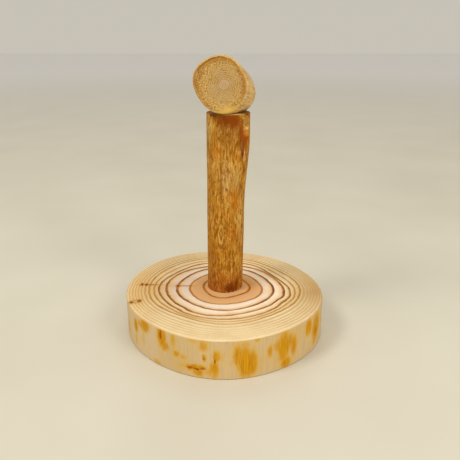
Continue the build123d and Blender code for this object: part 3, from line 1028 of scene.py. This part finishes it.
def stub_rim(look, across, colour):
    """Browner outer growth with a dark inner edge, and the pale sanded edge outside it with a painted
    highlight, strongest along the top.
    """
    radii = lobed(HEAD_RADIUS, HEAD_LOBES, TRACE_ANGLES) / MM
    gap = traced(look, turn_of(look, across), radii) - look.length(across)
    rough = look.noise(across / (3, 3, 1))
    gap = gap + (rough - 0.5) * 2
    x, y, _ = look.split(across)
    upper = look.band(y + abs(x * 0.4), -12, 12, 0.25, 1)
    broad = look.noise(across / (7, 7, 1), detail=2)
    upper = upper * look.band(broad, 0.4, 0.56, 0.2, 1)
    right = look.band(x, 8, 16) * look.band(y, -16, -4)
    brown = look.band(gap, 7.5, 2.6) * look.most(upper, right)
    colour = look.mix(brown * 0.5, colour, (0.34, 0.15, 0.022))
    upper = upper * look.band(x, -2, 8, 1, 0.25)
    dark = look.band(gap, 3.4, 2.6) * look.band(gap, 1.7, 2.3) * upper
    colour = look.mix(dark * 0.7, colour, (0.2, 0.075, 0.008))
    # Painted highlight on the sanded edge: strongest along the top, faint low on the left and weaker on the
    # right.
    lit = look.band(x + y * 0.6, -17, -6, 0.15, 0.75)
    lit = lit * look.band(x, 9, 18, 1, 0.4)
    return look.mix(look.band(gap, 2.1, 1.5) * lit, colour, (0.66, 0.43, 0.155))


def stub_side(look, local):
    """Colour and height of the stub's round side, streaked along its length."""
    grain = look.noise(local / (1.6, 1.6, 20), detail=4, roughness=0.6)
    fine = look.noise(local / (0.5, 0.5, 7))
    cloud = look.noise(local / (7, 7, 15), detail=2)
    ground = look.ramp(grain * 0.65 + cloud * 0.35, (0.38, (0.47, 0.26, 0.055)),
                       (0.48, (0.6, 0.38, 0.13)), (0.6, (0.73, 0.51, 0.235)))
    ground = look.tinted(ground, fine, 0.55, 0.8, 0.35, (0.42, 0.21, 0.05))
    return ground, grain * 0.3 + fine * 0.15


def head_wood():
    look = Look("head_wood_branch_stub", specular=0.07)
    matrix = head_frame()
    local = look.place(matrix)
    flat = local * (1, 1, 0)
    end_colour, end_height = fine_end_grain(look, flat - (3.4, -0.6, 0), 23)
    end_colour = stub_rim(look, flat, stub_marks(look, flat, end_colour))
    forward = tuple(matrix.to_3x3() @ Vector((0, 0, 1)))
    end = end_colour, end_height
    colour, height = by_facing(look, forward, 0.62, 0.9, stub_side(look, local), end)
    # Painted bounce light: a golden pool on the broad bevel low on the right of the front end, which lies
    # in shade above the branch.
    painted_bounce_light = look.spot(local, (9.5, -21.5, HEAD_OVERHANG / MM - 3.5), (12.5, 4.6, 6.5), 1.5)
    colour = look.mix(painted_bounce_light * 0.9, colour, (0.84, 0.55, 0.13))
    roughness = look.sheen(local, (3, 3, 3), 0.55, 0.7)
    return look.finish(colour, roughness, height, 0.6, 0.5)


# ---- Dowel and steel ----

def dowel_wood():
    look = Look("dowel_wood_plain", specular=0.35)
    point = look.place()
    grain = look.noise(point / (0.7, 0.7, 14), detail=4, roughness=0.6)
    fine = look.noise(point / (0.25, 0.25, 3), detail=2)
    colour = look.ramp(grain, (0.3, (0.52, 0.34, 0.17)), (0.5, (0.7, 0.5, 0.28)),
                       (0.7, (0.8, 0.62, 0.38)))
    colour = look.tinted(colour, fine, 0.55, 0.8, 0.4, (0.4, 0.23, 0.1))
    roughness = look.band(grain, 0.3, 0.7, 0.5, 0.64)
    return look.finish(colour, roughness, grain + fine * 0.5, 0.4, 0.15)


def zinc_steel():
    look = Look("zinc_plated_steel", metallic=1)
    point = look.place()
    cloud = look.noise(point / (2.5, 2.5, 2.5), detail=4, roughness=0.6)
    scratch = look.noise(point / (6, 0.3, 0.3))
    colour = look.ramp(cloud, (0.3, (0.5, 0.51, 0.52)), (0.5, (0.62, 0.62, 0.61)),
                       (0.7, (0.72, 0.7, 0.65)))
    roughness = look.band(cloud * 0.6 + scratch * 0.4, 0.3, 0.7, 0.28, 0.46)
    return look.finish(colour, roughness, scratch, 0.25, 0.05)


# ---- Stage, light and camera ----

CAMERA_BACK = 451.3 * MM
CAMERA_RIGHT = 5.6 * MM
CAMERA_HEIGHT = 262.1 * MM
CAMERA_PITCH = 20.41
CAMERA_LENS = 42.26


def floor_material():
    look = Look("pale_table", specular=0.3)
    point = look.place()
    cloud = look.noise(point / (140, 140, 140), detail=2)
    colour = look.ramp(cloud, (0.3, (0.645, 0.615, 0.51)), (0.7, (0.69, 0.66, 0.56)))
    far = look.band(look.length(point), 500.0, 3500.0)
    colour = look.mix(far, colour, (0.94, 0.94, 0.94))
    fine = look.noise(point / (1.2, 1.2, 1.2), detail=2)
    return look.finish(colour, look.band(cloud, 0.3, 0.7, 0.5, 0.6), fine, 0.15, 0.05)


def make_floor():
    size = 6.0
    mesh = bpy.data.meshes.new("table_top")
    corners = [(-size, -size, 0.0), (size, -size, 0.0), (size, size, 0.0), (-size, size, 0.0)]
    mesh.from_pydata(corners, [], [(0, 1, 2, 3)])
    floor = add_object("table_top", mesh)
    mesh.materials.append(floor_material())


def area_light(name, place, target, size, power, colour):
    light = bpy.data.lights.new(name, "AREA")
    light.shape = "DISK"
    light.size = size
    light.energy = power
    light.color = colour
    lamp = add_object(name, light)
    lamp.location = place
    lamp.rotation_euler = (Vector(target) - Vector(place)).to_track_quat("-Z", "Y").to_euler()


def make_light():
    middle = (0.0, 0.0, 0.10)
    area_light("key_light", (-0.85, -0.50, 1.30), middle, 0.5, 8.6, (1.0, 0.965, 0.91))
    area_light("fill_light", (0.80, -0.85, 0.95), middle, 0.6, 5.6, (1.0, 0.96, 0.90))
    area_light("front_light", (0.25, -1.50, 0.60), middle, 0.8, 4.6, (1.0, 0.96, 0.90))
    area_light("back_light", (0.1, 1.1, 1.4), middle, 1.0, 3.0, (1.0, 0.97, 0.93))
    world = bpy.data.worlds.new("soft_room")
    world.use_nodes = True
    background = world.node_tree.nodes["Background"]
    background.inputs["Color"].default_value = (0.96, 0.90, 0.79, 1.0)
    background.inputs["Strength"].default_value = 0.60
    bpy.context.scene.world = world


def make_camera():
    data = bpy.data.cameras.new("camera")
    data.lens = CAMERA_LENS
    data.sensor_width = 36.0
    data.clip_start = 0.01
    camera = add_object("camera", data)
    camera.location = (CAMERA_RIGHT, -CAMERA_BACK, CAMERA_HEIGHT)
    camera.rotation_euler = (radians(90.0 - CAMERA_PITCH), 0.0, 0.0)
    bpy.context.scene.camera = camera


# ---- Making the scene ----

make_camera()
make_light()
make_floor()
bpy.context.scene.view_settings.view_transform = "Standard"

add_piece(make_slab(), "stand", "base_slab", slab_wood())
add_piece(make_stem(), "stand", "stem", stem_wood())
add_piece(make_head(), "knob", "head", head_wood())

steel = zinc_steel()
for node, material in (("head_peg", dowel_wood()), ("stem_screw", steel), ("screw_washer", steel)):
    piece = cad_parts[node]
    piece.data.materials.clear()
    piece.data.materials.append(material)
